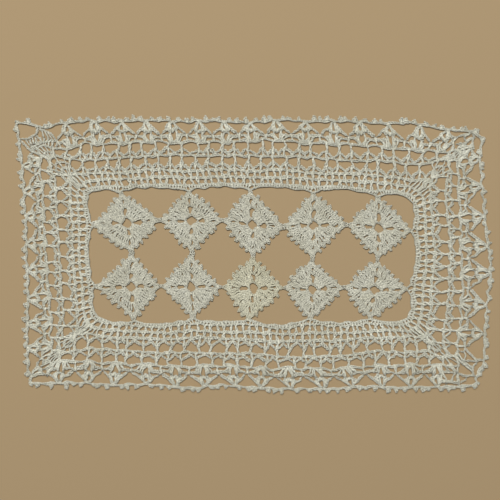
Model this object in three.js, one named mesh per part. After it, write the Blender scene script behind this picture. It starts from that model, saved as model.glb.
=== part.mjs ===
// An oblong crochet doily: two rows of square motifs tied point to point inside a wide worked border.
// Millimetres. It lies flat on z = 0 with its long side along X.
import * as THREE from "three";
import { mergeVertices } from "three/addons/utils/BufferGeometryUtils.js";

// Thread and sheet
const thickness = 1.4; // a layer of tall stitches
const threadWidth = 1.5; // a chain or a tall stitch, seen flat
const tieGap = 0.3; // between pieces that are only tied by a stitch
const edgeStep = 3; // between points of a smooth edge

// Middle of the laid-out doily, moved to the origin
const middle = { x: -0.1, y: -0.5 };

// Border. Each row is one section across it: where it lies along its side, and how far out four of
// its rounds are there. Inner is the edge that the motifs hang from, bar1 and bar2 are the straight
// chains over the two rows of open cells, and edge is the chain that carries the picots.
const sections = [
  { side: "top", at: -157, edge: 95 },
  { side: "top", at: -142, bar2: 80, edge: 97.5 },
  { side: "top", at: -121, bar1: 71, bar2: 83, edge: 100 },
  { side: "top", at: -112, inner: 48.5 },
  { side: "top", at: -100, inner: 46.5, bar1: 72, bar2: 83, edge: 100 },
  { side: "top", at: -74, inner: 50, bar1: 74, bar2: 84, edge: 100 },
  { side: "top", at: -49, inner: 47, bar1: 74, bar2: 84, edge: 100 },
  { side: "top", at: -24, inner: 50.5, bar1: 74, bar2: 84, edge: 99.5 },
  { side: "top", at: -2.5, inner: 48, bar1: 73.5, bar2: 85, edge: 99 },
  { side: "top", at: 19.5, inner: 50, bar1: 73.5, bar2: 85, edge: 100.5 },
  { side: "top", at: 44, inner: 46.5, bar1: 72, bar2: 83.5, edge: 100 },
  { side: "top", at: 68, inner: 48, bar1: 70.5, bar2: 82, edge: 99.5 },
  { side: "top", at: 93, inner: 43.5, bar1: 70, bar2: 81, edge: 98.5 },
  { side: "top", at: 108, inner: 44.5 },
  { side: "top", at: 117, bar1: 67.5, bar2: 78, edge: 98 },
  { side: "top", at: 144, bar2: 77, edge: 93.5 },
  { side: "right", at: 78, edge: 169.5 },
  { side: "right", at: 63, bar2: 153, edge: 170 },
  { side: "right", at: 40.5, bar1: 144, bar2: 154, edge: 172 },
  { side: "right", at: 27, inner: 120.5 },
  { side: "right", at: 17.5, inner: 119, bar1: 146.5, bar2: 155, edge: 174 },
  { side: "right", at: -3, inner: 121.5, bar1: 147, bar2: 155.5, edge: 177 },
  { side: "right", at: -26.5, inner: 116, bar1: 146, bar2: 156, edge: 176 },
  { side: "right", at: -38, inner: 118.5 },
  { side: "right", at: -46, bar1: 144.5, bar2: 155, edge: 174 },
  { side: "right", at: -64.5, bar1: 141.5, bar2: 153.5, edge: 173 },
  { side: "bottom", at: 151, edge: -99 },
  { side: "bottom", at: 132, bar1: -73, bar2: -83.5, edge: -100 },
  { side: "bottom", at: 107, inner: -50, bar1: -73.5, bar2: -83.5, edge: -100.5 },
  { side: "bottom", at: 86.5, inner: -49.5, bar1: -73.5, bar2: -84, edge: -99 },
  { side: "bottom", at: 64.5, inner: -51, bar1: -76.5, bar2: -86, edge: -101 },
  { side: "bottom", at: 42, inner: -49.5, bar1: -77, bar2: -86, edge: -101 },
  { side: "bottom", at: 19.5, inner: -52.5, bar1: -77, bar2: -86, edge: -101.5 },
  { side: "bottom", at: -4, inner: -50, bar1: -75, bar2: -84.5, edge: -99.5 },
  { side: "bottom", at: -24, inner: -50.5, bar1: -74.5, bar2: -84, edge: -98.5 },
  { side: "bottom", at: -45.5, inner: -49, bar1: -74, bar2: -84, edge: -100.5 },
  { side: "bottom", at: -68, inner: -52, bar1: -74, bar2: -84, edge: -98.5 },
  { side: "bottom", at: -90.5, inner: -50.5, bar1: -73, bar2: -82.5, edge: -98 },
  { side: "bottom", at: -108, inner: -50.5, bar1: -72, bar2: -81.5, edge: -98 },
  { side: "bottom", at: -124.5, bar1: -71, bar2: -81, edge: -97 },
  { side: "bottom", at: -148, bar2: -80.5, edge: -97 },
  { side: "left", at: -83, edge: -169.5 },
  { side: "left", at: -68, bar2: -152.5, edge: -170 },
  { side: "left", at: -43.5, bar1: -143, bar2: -152.5, edge: -170 },
  { side: "left", at: -24, inner: -121, bar1: -145, bar2: -154.5, edge: -169.5 },
  { side: "left", at: 0, inner: -124, bar1: -146, bar2: -156, edge: -171 },
  { side: "left", at: 22, inner: -122, bar1: -147.5, bar2: -157.5, edge: -171 },
  { side: "left", at: 36, inner: -124.5 },
  { side: "left", at: 47.5, bar1: -149, bar2: -158.5, edge: -173 },
  { side: "left", at: 67, bar2: -160.5, edge: -174 },
];
const corners = {
  topLeft: { inner: [-125, 46], bar1: [-149, 68.5], bar2: [-160, 79], edge: [-178, 95.5] },
  topRight: { inner: [118, 40], bar1: [140, 64.5], bar2: [152, 76], edge: [165, 91] },
  bottomRight: { inner: [114.5, -49], bar1: [140, -72], bar2: [151, -81], edge: [168.5, -88.5] },
  bottomLeft: { inner: [-119.5, -46], bar1: [-141, -70], bar2: [-152.5, -80], edge: [-167, -96.5] },
};

// Sides in working order, clockwise. Along names the axis that "at" is measured on.
const sides = {
  top: { along: "x", from: "topLeft", to: "topRight" },
  right: { along: "y", from: "topRight", to: "bottomRight" },
  bottom: { along: "x", from: "bottomRight", to: "bottomLeft" },
  left: { along: "y", from: "bottomLeft", to: "topLeft" },
};

// Open cells: how many on each side, where the first and last post stand on the outer chain, and how
// far the middle post is off an even spacing.
const innerCells = {
  top: { cells: 28, first: -138, last: 134.5, drift: -1 },
  right: { cells: 13, first: 58.5, last: -67, drift: 0 },
  bottom: { cells: 27, first: 132, last: -134.5, drift: 0 },
  left: { cells: 12, first: -63, last: 59.5, drift: 0 },
};
const outerCells = {
  top: { cells: 30, first: -150, last: 146, drift: -3 },
  right: { cells: 15, first: 70, last: -79, drift: 0 },
  bottom: { cells: 28, first: 142.5, last: -146.5, drift: 0 },
  left: { cells: 15, first: -74.5, last: 73.5, drift: 0 },
};
// A cell across its round, as shares from the inner ring to the outer one: the dip of its V chain
// and the height at which the V meets the posts.
const innerCellShares = { dip: 0.64, side: 0.75 };
const outerCellShares = { dip: 0.28, side: 0.5 };
// How far inside the corner of the inner ring the end posts would land on it
const innerCornerInset = -3;
const outerCornerInset = 1;

// Fans under the picot edge: how many on each side, where the first and last tip and base are, how far
// the middle one is off an even spacing, and the valley after the last one. A valley, where two fans
// meet, is a share of the way from bar2 to the edge. A corner fan has the valley that follows it.
const valley = 0.33;
const sideFans = {
  top: { fans: 15, tips: [-142, 144.5], bases: [-140, 137], drift: -4, endValley: 0.62 },
  right: { fans: 7, tips: [73, -60], bases: [67, -60], drift: 0, endValley: 0.4 },
  bottom: { fans: 14, tips: [137, -148], bases: [133, -143], drift: 0, endValley: 0.6 },
  left: { fans: 8, tips: [-71.5, 67], bases: [-69, 63], drift: 0, endValley: 0.45 },
};
const cornerFans = {
  topLeft: [
    { tip: [-173, 86], base: [-160.5, 74], valley: 0.33 },
    { tip: [-163, 94], base: [-155, 79], valley: 0.33 },
  ],
  topRight: [{ tip: [163.5, 91.5], base: [152, 76], valley: 0.58 }],
  bottomRight: [
    { tip: [172.5, -80.5], base: [153, -74], valley: 0.62 },
    { tip: [165.5, -91.5], base: [151, -80], valley: 0.6 },
    { tip: [154.5, -98.5], base: [145, -82.5], valley: 0.7 },
  ],
  bottomLeft: [{ tip: [-166, -92], base: [-152.5, -80], valley: 0.42 }],
};
const tipDip = 0.4; // of the edge chain at a fan tip
const picotsPerGap = 3;
const picotHeight = 2.2;
const picotWidth = 3;

// Motifs: the middle, the four ties, and how far each side stands out (1 is straight from tie to tie).
// A tie with only a place along its side is on the inner edge of the border.
const motifs = [
  {
    name: "motif_r1_c1",
    centre: [-95, 23.5],
    ties: { top: { at: -100 }, right: [-71, 25], bottom: [-92, 1], left: { at: 22 } },
    full: { upRight: 1.04, downRight: 1.04, downLeft: 1.07, upLeft: 0.91 },
  },
  {
    name: "motif_r1_c2",
    centre: [-47, 25],
    ties: { top: { at: -49 }, right: [-23.5, 25], bottom: [-47, 0.5], left: [-71, 25] },
    full: { upRight: 1.12, downRight: 1.0, downLeft: 1.01, upLeft: 1.01 },
  },
  {
    name: "motif_r1_c3",
    centre: [-1, 22],
    ties: { top: { at: -2.5 }, right: [22, 20.5], bottom: [-1, -2], left: [-23.5, 25] },
    full: { upRight: 1.02, downRight: 1.04, downLeft: 1.08, upLeft: 1.03 },
  },
  {
    name: "motif_r1_c4",
    centre: [45, 21.5],
    ties: { top: { at: 44.5 }, right: [70, 22], bottom: [43.5, -4], left: [22, 20.5] },
    full: { upRight: 1.04, downRight: 0.96, downLeft: 1.04, upLeft: 1.01 },
  },
  {
    name: "motif_r1_c5",
    centre: [93.5, 19.5],
    ties: { top: { at: 93 }, right: { at: 17.5 }, bottom: [93, -4], left: [70, 22] },
    full: { upRight: 1.03, downRight: 1.01, downLeft: 1.06, upLeft: 1.0 },
  },
  {
    name: "motif_r2_c1",
    centre: [-92, -25],
    ties: { top: [-92, 1], right: [-69.5, -24], bottom: { at: -90.5 }, left: { at: -24 } },
    full: { upRight: 0.99, downRight: 1.0, downLeft: 0.96, upLeft: 0.92 },
  },
  {
    name: "motif_r2_c2",
    centre: [-47, -25],
    ties: { top: [-47, 0.5], right: [-23, -24.5], bottom: { at: -45.5 }, left: [-69.5, -24] },
    full: { upRight: 0.92, downRight: 0.98, downLeft: 1.01, upLeft: 1.02 },
  },
  {
    name: "motif_r2_c3",
    centre: [0, -26],
    ties: { top: [-1, -2], right: [22.5, -25.5], bottom: { at: -4 }, left: [-23, -24.5] },
    full: { upRight: 1.02, downRight: 1.06, downLeft: 1.06, upLeft: 1.04 },
  },
  {
    name: "motif_r2_c4",
    centre: [44, -26.5],
    ties: { top: [43.5, -4], right: [68, -25], bottom: { at: 42 }, left: [22.5, -25.5] },
    full: { upRight: 0.99, downRight: 1.03, downLeft: 1.03, upLeft: 1.08 },
  },
  {
    name: "motif_r2_c5",
    centre: [90.5, -27],
    ties: { top: [93, -4], right: { at: -26.5 }, bottom: { at: 86.5 }, left: [68, -25] },
    full: { upRight: 0.96, downRight: 1.05, downLeft: 1.07, upLeft: 1.08 },
  },
];
// Motif shape, as shares of the way from its middle to a tie
const teethPerSide = 5;
const teethFrom = 0.1;
const shoulder = 0.94; // how full a side is at its ends
const toothRise = 0.065;
const toothFall = 0.045;
const armHalfWidth = 0.055;
const armRoot = 0.89;
const eyeReach = 0.16; // half the middle opening, along a diagonal
const slitFrom = 0.26;
const slitTo = 0.46;
const slitHalfWidth = 0.055;

const lerp = THREE.MathUtils.lerp;

// A smooth curve through rows of [at, value], read at any place along it.
function readCurve(rows, at) {
  let i = 0;
  while (i < rows.length - 2 && at > rows[i + 1][0]) {
    i += 1;
  }
  const slope = (a, b) => (rows[b][1] - rows[a][1]) / (rows[b][0] - rows[a][0]);
  const startSlope = slope(Math.max(i - 1, 0), i + 1);
  const endSlope = slope(i, Math.min(i + 2, rows.length - 1));
  const span = rows[i + 1][0] - rows[i][0];
  const t = THREE.MathUtils.clamp((at - rows[i][0]) / span, 0, 1);
  const rise = t * t * (3 - 2 * t);
  const curveStart = t * (1 - t) * (1 - t) * startSlope * span;
  const curveEnd = t * t * (t - 1) * endSlope * span;
  return lerp(rows[i][1], rows[i + 1][1], rise) + curveStart + curveEnd;
}

// One ring on one side, as sorted rows from corner to corner.
function ringRows(ring, side) {
  const { along, from, to } = sides[side];
  const flip = along === "y";
  const rows = sections.filter((s) => s.side === side && s[ring] !== undefined).map((s) => [s.at, s[ring]]);
  for (const name of [from, to]) {
    const [x, y] = corners[name][ring];
    rows.push(flip ? [y, x] : [x, y]);
  }
  return rows.sort((a, b) => a[0] - b[0]);
}

function ringPoint(ring, side, at) {
  const value = readCurve(ringRows(ring, side), at);
  return sides[side].along === "x" ? new THREE.Vector2(at, value) : new THREE.Vector2(value, at);
}

function cornerAt(ring, corner, side) {
  return corners[corner][ring][sides[side].along === "x" ? 0 : 1];
}

// A whole ring as a closed line, clockwise from the top left corner.
function ringLoop(ring) {
  const points = [];
  for (const side of Object.keys(sides)) {
    const start = cornerAt(ring, sides[side].from, side);
    const end = cornerAt(ring, sides[side].to, side);
    const steps = Math.round(Math.abs(end - start) / edgeStep);
    for (let i = 0; i < steps; i += 1) {
      points.push(ringPoint(ring, side, lerp(start, end, i / steps)));
    }
  }
  const lengths = [0];
  points.forEach((p, i) => {
    lengths.push(lengths[i] + p.distanceTo(points[(i + 1) % points.length]));
  });
  return { points, lengths, total: lengths[points.length] };
}

function loopPoint(loop, length) {
  const s = THREE.MathUtils.euclideanModulo(length, loop.total);
  let i = 0;
  while (i < loop.points.length - 1 && loop.lengths[i + 1] < s) {
    i += 1;
  }
  const share = (s - loop.lengths[i]) / (loop.lengths[i + 1] - loop.lengths[i]);
  return loop.points[i].clone().lerp(loop.points[(i + 1) % loop.points.length], share);
}

// Unit vector that points out of the doily, for a loop that runs clockwise.
function loopOutward(loop, length) {
  const ahead = loopPoint(loop, length + edgeStep / 2).sub(loopPoint(loop, length - edgeStep / 2));
  return new THREE.Vector2(-ahead.y, ahead.x).normalize();
}

function loopNearest(loop, point) {
  let best = 0;
  let least = Infinity;
  for (let s = 0; s < loop.total; s += 0.5) {
    const d = loopPoint(loop, s).distanceTo(point);
    if (d < least) {
      least = d;
      best = s;
    }
  }
  return best;
}

// A closed line moved inwards by the given distance, or null where nothing would be left.
function inset(points, distance) {
  const outline = THREE.ShapeUtils.isClockWise(points) ? [...points].reverse() : points;
  const count = outline.length;
  const moved = outline.map((p, i) => {
    const before = p.clone().sub(outline[(i + count - 1) % count]).normalize();
    const after = outline[(i + 1) % count].clone().sub(p).normalize();
    const normal = new THREE.Vector2(-before.y - after.y, before.x + after.x).normalize();
    const cosine = Math.max(normal.dot(new THREE.Vector2(-after.y, after.x)), 0.3);
    return p.clone().addScaledVector(normal, distance / cosine);
  });
  const turned = outline.some((p, i) => {
    const old = outline[(i + 1) % count].clone().sub(p);
    return moved[(i + 1) % count].clone().sub(moved[i]).dot(old) <= 0;
  });
  return turned ? null : moved;
}

// A place in a round of cells: t runs along the side, share runs from the inner ring to the outer.
function cellPoint(round, side, innerRing, outerRing, cornerInset, t, share) {
  const { first, last, drift } = round[side];
  const s = 2 * t - 1;
  const outerAt = lerp(first, last, t) + drift * (1 - s * s);
  const end = s < 0 ? sides[side].from : sides[side].to;
  const endAt = cornerAt(innerRing, end, side) - Math.sign(s * (last - first)) * cornerInset;
  const innerAt = outerAt + (endAt - (s < 0 ? first : last)) * Math.abs(s) ** 3;
  return ringPoint(innerRing, side, innerAt).lerp(ringPoint(outerRing, side, outerAt), share);
}

function cellHoles(round, innerRing, outerRing, cornerInset, shares) {
  const holes = [];
  for (const side of Object.keys(sides)) {
    const { cells } = round[side];
    for (let i = 0; i < cells; i += 1) {
      const place = (post, share) =>
        cellPoint(round, side, innerRing, outerRing, cornerInset, post / cells, share);
      const line = [
        place(i, 1),
        place(i + 1, 1),
        place(i + 1, shares.side),
        place(i + 0.5, shares.dip),
        place(i, shares.side),
      ];
      holes.push(inset(line, threadWidth / 2));
    }
  }
  return holes;
}

// Tips and bases of all fans, clockwise from the first one of the top side.
function fanList() {
  const list = [];
  for (const side of Object.keys(sides)) {
    const { fans, tips, bases, drift, endValley } = sideFans[side];
    for (let i = 0; i < fans; i += 1) {
      const t = i / (fans - 1);
      const shift = drift * 4 * t * (1 - t);
      list.push({
        tip: ringPoint("edge", side, lerp(...tips, t) + shift),
        base: ringPoint("bar2", side, lerp(...bases, t) + shift),
        valley: i < fans - 1 ? valley : endValley,
      });
    }
    for (const corner of cornerFans[sides[side].to]) {
      list.push({
        tip: new THREE.Vector2(...corner.tip),
        base: new THREE.Vector2(...corner.base),
        valley: corner.valley,
      });
    }
  }
  return list;
}

// The picot edge and the gaps between fans, worked out together from tip to tip.
function fanEdge() {
  const edge = ringLoop("edge");
  const bar = ringLoop("bar2");
  const tips = fanList().map((fan) => ({
    onEdge: loopNearest(edge, fan.tip),
    onBar: loopNearest(bar, fan.base),
    valley: fan.valley,
  }));
  const outline = [];
  const gaps = [];
  tips.forEach((tip, i) => {
    const next = tips[(i + 1) % tips.length];
    const edgeRun = THREE.MathUtils.euclideanModulo(next.onEdge - tip.onEdge, edge.total);
    const barRun = THREE.MathUtils.euclideanModulo(next.onBar - tip.onBar, bar.total);
    const stand = (length, height) =>
      loopPoint(edge, length).addScaledVector(loopOutward(edge, length), height);
    outline.push(stand(tip.onEdge, threadWidth / 2 - tipDip));
    for (let k = 0; k < picotsPerGap; k += 1) {
      const s = tip.onEdge + (edgeRun * (k + 0.5)) / picotsPerGap;
      outline.push(stand(s - picotWidth / 2, threadWidth / 2));
      outline.push(stand(s - picotWidth / 4, threadWidth / 2 + picotHeight));
      outline.push(stand(s + picotWidth / 4, threadWidth / 2 + picotHeight));
      outline.push(stand(s + picotWidth / 2, threadWidth / 2));
    }
    const chainMiddle = stand(tip.onEdge + edgeRun / 2, tipDip);
    const meeting = loopPoint(bar, tip.onBar + barRun / 2).lerp(chainMiddle, tip.valley);
    const line = [stand(tip.onEdge, 0), chainMiddle, stand(next.onEdge, 0), meeting];
    const gap = inset(line, threadWidth / 2);
    if (gap) {
      gaps.push(gap);
    }
  });
  return { outline, gaps };
}

// Motif outline: between two ties, the arm, the teeth of one side, and the next arm.
function motifShape(motif) {
  const centre = new THREE.Vector2(...motif.centre);
  const order = ["top", "right", "bottom", "left"];
  const fullness = ["upRight", "downRight", "downLeft", "upLeft"];
  const ways = order.map((name) => {
    const tie = motif.ties[name];
    const onBorder = !Array.isArray(tie);
    const end = onBorder ? ringPoint("inner", name, tie.at) : new THREE.Vector2(...tie);
    const way = end.sub(centre);
    return way.setLength(way.length() - (onBorder ? tieGap : tieGap / 2));
  });
  const outline = [];
  const slits = [];
  const eye = [];
  ways.forEach((way, i) => {
    const next = ways[(i + 1) % 4];
    const last = ways[(i + 3) % 4];
    const full = motif.full[fullness[i]];
    const place = (a, b) => centre.clone().addScaledVector(way, a).addScaledVector(next, b);
    const placeBack = (a, b) => centre.clone().addScaledVector(way, a).addScaledVector(last, b);
    outline.push(place(1, armHalfWidth));
    outline.push(place(armRoot, armHalfWidth));
    for (let k = 0; k < teethPerSide; k += 1) {
      for (const [step, stand] of [
        [0.12, -toothFall],
        [0.3, toothRise],
        [0.7, toothRise],
        [0.88, -toothFall],
      ]) {
        const b = lerp(teethFrom, 1 - teethFrom, (k + step) / teethPerSide);
        const reach = lerp(shoulder, full, Math.sin(Math.PI * b)) + stand;
        outline.push(place((1 - b) * reach, b * reach));
      }
    }
    outline.push(place(armHalfWidth, armRoot));
    outline.push(place(armHalfWidth, 1));
    eye.push(place(eyeReach, 0), place(eyeReach * 0.62, eyeReach * 0.62));
    slits.push([
      place(slitFrom, 0),
      place(lerp(slitFrom, slitTo, 0.6), slitHalfWidth),
      place(slitTo, slitHalfWidth * 0.6),
      placeBack(slitTo, slitHalfWidth * 0.6),
      placeBack(lerp(slitFrom, slitTo, 0.6), slitHalfWidth),
    ]);
  });
  return { outline, holes: [eye, ...slits] };
}

function wound(line, clockwise) {
  return THREE.ShapeUtils.isClockWise(line) === clockwise ? line : [...line].reverse();
}

function sheet(outline, holes) {
  const shape = new THREE.Shape(wound(outline, false));
  shape.holes = holes.map((line) => new THREE.Path(wound(line, true)));
  const solid = new THREE.ExtrudeGeometry(shape, { depth: thickness, bevelEnabled: false });
  solid.deleteAttribute("normal");
  solid.deleteAttribute("uv");
  const closed = mergeVertices(solid, 1e-4);
  closed.translate(-middle.x, -middle.y, 0);
  closed.computeVertexNormals();
  return closed;
}

function cotton(name, geometry, colour) {
  const mesh = new THREE.Mesh(geometry, new THREE.MeshStandardMaterial({ color: colour, roughness: 0.95 }));
  mesh.name = name;
  return mesh;
}

const doily = new THREE.Group();
doily.name = "crochet_doily";

const { outline, gaps } = fanEdge();
const opening = ringLoop("inner").points;
const borderHoles = [
  opening,
  ...cellHoles(innerCells, "inner", "bar1", innerCornerInset, innerCellShares),
  ...cellHoles(outerCells, "bar1", "bar2", outerCornerInset, outerCellShares),
  ...gaps,
];
doily.add(cotton("border", sheet(outline, borderHoles), 0xd9d8c9));

for (const motif of motifs) {
  const { outline: rim, holes } = motifShape(motif);
  doily.add(cotton(motif.name, sheet(rim, holes), 0xdbdacb));
}

export default doily;
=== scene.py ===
import math
import bpy
import numpy as np
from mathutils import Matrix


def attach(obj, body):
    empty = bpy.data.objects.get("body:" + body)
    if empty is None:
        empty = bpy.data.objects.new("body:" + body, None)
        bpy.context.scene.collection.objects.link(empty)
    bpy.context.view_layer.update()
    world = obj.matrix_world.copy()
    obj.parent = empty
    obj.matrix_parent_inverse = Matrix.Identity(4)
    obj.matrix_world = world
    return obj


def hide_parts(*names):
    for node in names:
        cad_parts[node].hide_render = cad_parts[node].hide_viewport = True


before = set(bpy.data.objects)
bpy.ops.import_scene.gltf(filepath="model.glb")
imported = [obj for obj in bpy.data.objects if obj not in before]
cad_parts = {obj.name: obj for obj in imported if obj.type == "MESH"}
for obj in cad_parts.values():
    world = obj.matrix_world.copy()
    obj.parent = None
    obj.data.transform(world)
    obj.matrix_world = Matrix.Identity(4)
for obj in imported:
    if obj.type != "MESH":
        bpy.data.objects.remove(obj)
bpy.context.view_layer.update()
rng = np.random.default_rng(23)  # hand-made unevenness, the same each run
mm = 0.001
print("frame loaded:", len(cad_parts), "pieces of lace")

# Layout in millimetres, as the doily lies. Each border ring has rows of (place along the side, how far out).
layoutMiddle = np.array([-0.1, -0.5])
borderRings = {
    "inner": {
        "top": [(-112, 48.5), (-100, 47.3), (-74, 50), (-49, 48), (-24, 50.5), (-2.5, 49),
                (19.5, 50), (44, 47.3), (68, 48), (93, 44.5), (108, 44.5)],
        "right": [(27, 120.5), (17.5, 119), (-3, 121.5), (-26.5, 116), (-38, 118.5)],
        "bottom": [(107, -50), (86.5, -49.5), (64.5, -51), (42, -49.5), (19.5, -52.5), (-4, -50),
                   (-24, -50.5), (-45.5, -49), (-68, -52), (-90.5, -50.5), (-108, -50.5)],
        "left": [(-24, -121), (0, -124), (22, -122), (36, -124.5)],
    },
    "bar1": {
        "top": [(-121, 71), (-100, 72), (-74, 74), (-49, 74), (-24, 74), (-2.5, 73.5),
                (19.5, 73.5), (44, 72), (68, 70.5), (93, 70), (117, 67.5)],
        "right": [(40.5, 144), (17.5, 146.5), (-3, 147), (-26.5, 146), (-46, 144.5), (-64.5, 141.5)],
        "bottom": [(132, -73), (107, -73.5), (86.5, -73.5), (64.5, -76.5), (42, -77), (19.5, -77), (-4, -75),
                   (-24, -74.5), (-45.5, -74), (-68, -74), (-90.5, -73), (-108, -72), (-124.5, -71)],
        "left": [(-43.5, -143), (-24, -145), (0, -146), (22, -147.5), (47.5, -149)],
    },
    "bar2": {
        "top": [(-142, 80), (-121, 83), (-100, 83), (-74, 84), (-49, 84), (-24, 84), (-2.5, 85),
                (19.5, 85), (44, 83.5), (68, 82), (93, 81), (117, 78), (144, 77)],
        "right": [(63, 153), (40.5, 154), (17.5, 155), (-3, 155.5), (-26.5, 156), (-46, 155), (-64.5, 153.5)],
        "bottom": [(132, -83.5), (107, -83.5), (86.5, -84), (64.5, -86), (42, -86), (19.5, -86), (-4, -84.5),
                   (-24, -84), (-45.5, -84), (-68, -84), (-90.5, -82.5), (-108, -81.5), (-124.5, -81),
                   (-148, -80.5)],
        "left": [(-68, -152.5), (-43.5, -152.5), (-24, -154.5), (0, -156), (22, -157.5), (47.5, -158.5),
                 (67, -160.5)],
    },
    "edge": {
        "top": [(-172, 98.5), (-163, 95.6), (-155, 95), (-148, 98), (-142, 98.5), (-121, 100), (-100, 100),
                (-74, 100), (-49, 100), (-24, 99.5), (-2.5, 99), (19.5, 100.5), (44, 100), (68, 99.5),
                (93, 98.5), (117, 98), (144, 93.5)],
        "right": [(87, 170.3), (78, 170), (63, 170), (40.5, 172), (17.5, 174), (-3, 177), (-26.5, 176),
                  (-46, 174), (-64.5, 173), (-81, 172.5), (-90, 167.5)],
        "bottom": [(159.5, -99.5), (151, -99), (132, -100), (107, -100.5), (86.5, -99), (64.5, -101),
                   (42, -101), (19.5, -101.5), (-4, -99.5), (-24, -98.5), (-45.5, -100.5), (-68, -98.5),
                   (-90.5, -98), (-108, -98), (-124.5, -97), (-148, -97)],
        "left": [(-83, -169.5), (-68, -170), (-43.5, -170), (-24, -169.5), (0, -171), (22, -171),
                 (47.5, -173), (67, -174)],
    },
}
cornerRows = {  # the same rings at the corners
    "topLeft": [(-125, 46), (-152, 71.5), (-160.8, 81), (-178, 97)],
    "topRight": [(118, 40), (145.8, 70), (154, 78.3), (164, 92.6)],
    "bottomRight": [(114.5, -49), (143.2, -76.8), (152.6, -84), (167.3, -97)],
    "bottomLeft": [(-119.5, -46), (-145.5, -73), (-153, -80.6), (-167, -96.5)],
}
cornerPoints = {corner: dict(zip(borderRings, rows)) for corner, rows in cornerRows.items()}
sideWays = {  # clockwise: axis it runs along (0 is X), corner it starts at, corner it ends at
    "top": (0, "topLeft", "topRight"),
    "right": (1, "topRight", "bottomRight"),
    "bottom": (0, "bottomRight", "bottomLeft"),
    "left": (1, "bottomLeft", "topLeft"),
}
sideAfter = {"topRight": "right", "bottomRight": "bottom", "bottomLeft": "left", "topLeft": "top"}
sideOut = {"top": 1, "right": 1, "bottom": -1, "left": -1}
fanSides = {  # where each fan has its tip on the edge and its base on the chain under it, clockwise
    "top": [(-141.75, -136.5), (-121, -116.5), (-99.75, -97.5), (-81, -78.75), (-62, -59.25), (-41.5, -39.75),
            (-23.25, -20.5), (-3.5, -0.75), (16.5, 18.75), (38.5, 39), (59.25, 60), (78.75, 81.75),
            (101, 102.75), (125, 122.25), (144.75, 140.25)],
    "right": [(72.5, 68.25), (52, 45.75), (27.5, 27), (5.25, 7), (-14, -14.5), (-38, -36.5), (-60, -59.25)],
    "bottom": [(137.25, 136.5), (117.75, 117), (96.5, 95.25), (73.5, 68.25), (52.5, 46), (28, 24.5), (5.5, 5),
               (-14.5, -15.75), (-36.5, -38.25), (-58.5, -59), (-81, -81), (-105.5, -103.5), (-124.5, -123),
               (-147.75, -143.25)],
    "left": [(-71.5, -69), (-53.25, -50.25), (-34, -31.5), (-12.5, -9.75), (6.75, 10.5), (27.5, 30.5),
             (45.75, 50.5), (65.5, 71)],
}
fanPull = 0.8  # how far each fan draws in the chain that it stands on
motifTies = {  # joints inside the opening, which two motifs share
    "r1_12": (-71, 25), "r1_23": (-23.5, 25), "r1_34": (22, 20.5), "r1_45": (70, 22),
    "r2_12": (-69.5, -24), "r2_23": (-23, -24.5), "r2_34": (22.5, -25.5), "r2_45": (68, -25),
    "c1": (-92, 1), "c2": (-47, 0.5), "c3": (-1, -2), "c4": (43.5, -4), "c5": (93, -4),
}
motifRows = {  # middle; ties top, right, bottom, left (or a place on the border); fullness of the sides
    "motif_r1_c1": ((-95, 23.5), (-100, "r1_12", "c1", 22), (1.04, 1.04, 1.07, 0.91)),
    "motif_r1_c2": ((-47, 25), (-49, "r1_23", "c2", "r1_12"), (1.12, 1.0, 1.01, 1.01)),
    "motif_r1_c3": ((-1, 22), (-2.5, "r1_34", "c3", "r1_23"), (1.02, 1.04, 1.08, 1.03)),
    "motif_r1_c4": ((45, 21.5), (44.5, "r1_45", "c4", "r1_34"), (1.04, 0.96, 1.04, 1.01)),
    "motif_r1_c5": ((93.5, 19.5), (93, 17.5, "c5", "r1_45"), (1.03, 1.01, 1.06, 1.0)),
    "motif_r2_c1": ((-92, -25), ("c1", "r2_12", -90.5, -24), (0.99, 1.0, 0.96, 0.92)),
    "motif_r2_c2": ((-47, -25), ("c2", "r2_23", -45.5, "r2_12"), (0.92, 0.98, 1.01, 1.02)),
    "motif_r2_c3": ((0, -26), ("c3", "r2_34", -4, "r2_23"), (1.02, 1.06, 1.06, 1.04)),
    "motif_r2_c4": ((44, -26.5), ("c4", "r2_45", 42, "r2_34"), (0.99, 1.03, 1.03, 1.08)),
    "motif_r2_c5": ((90.5, -27), ("c5", -26.5, 86.5, "r2_45"), (0.96, 1.05, 1.07, 1.08)),
}


def lerp(a, b, t):
    return np.asarray(a, float) * (1 - t) + np.asarray(b, float) * t


def readCurve(rows, at):  # smooth curve through the rows
    x, y = np.array(sorted(rows), float).T
    order = np.arange(len(x))
    low, high = np.maximum(order - 1, 0), np.minimum(order + 1, len(x) - 1)
    slope = (y[high] - y[low]) / (x[high] - x[low])
    i = np.clip(np.searchsorted(x, at) - 1, 0, len(x) - 2)
    span = x[i + 1] - x[i]
    t = np.clip((at - x[i]) / span, 0, 1)
    rise = y[i] + (y[i + 1] - y[i]) * t * t * (3 - 2 * t)
    return rise + span * (t * (1 - t) ** 2 * slope[i] + t * t * (t - 1) * slope[i + 1])


def ringPoint(ring, side, at):
    axis, start, end = sideWays[side]
    ends = [cornerPoints[c][ring] for c in (start, end)]
    rows = borderRings[ring][side] + [(p[axis], p[1 - axis]) for p in ends]
    out = readCurve(rows, at)
    if ring == "bar2":
        bases = np.array(fanSides[side])[:, 1]
        order = np.argsort(bases)
        out = out - sideOut[side] * fanPull * np.cos(2 * math.pi * np.interp(at, bases[order], order))
    return np.stack([at, out] if axis == 0 else [out, at], -1)


def ringLoop(ring, step=1.5):  # whole ring as a closed line, clockwise from the top left corner
    points = []
    for side, (axis, start, end) in sideWays.items():
        ends = [cornerPoints[c][ring][axis] for c in (start, end)]
        count = round(abs(ends[1] - ends[0]) / step)
        points.append(ringPoint(ring, side, np.linspace(*ends, count, endpoint=False)))
    return np.concatenate(points)


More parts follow.
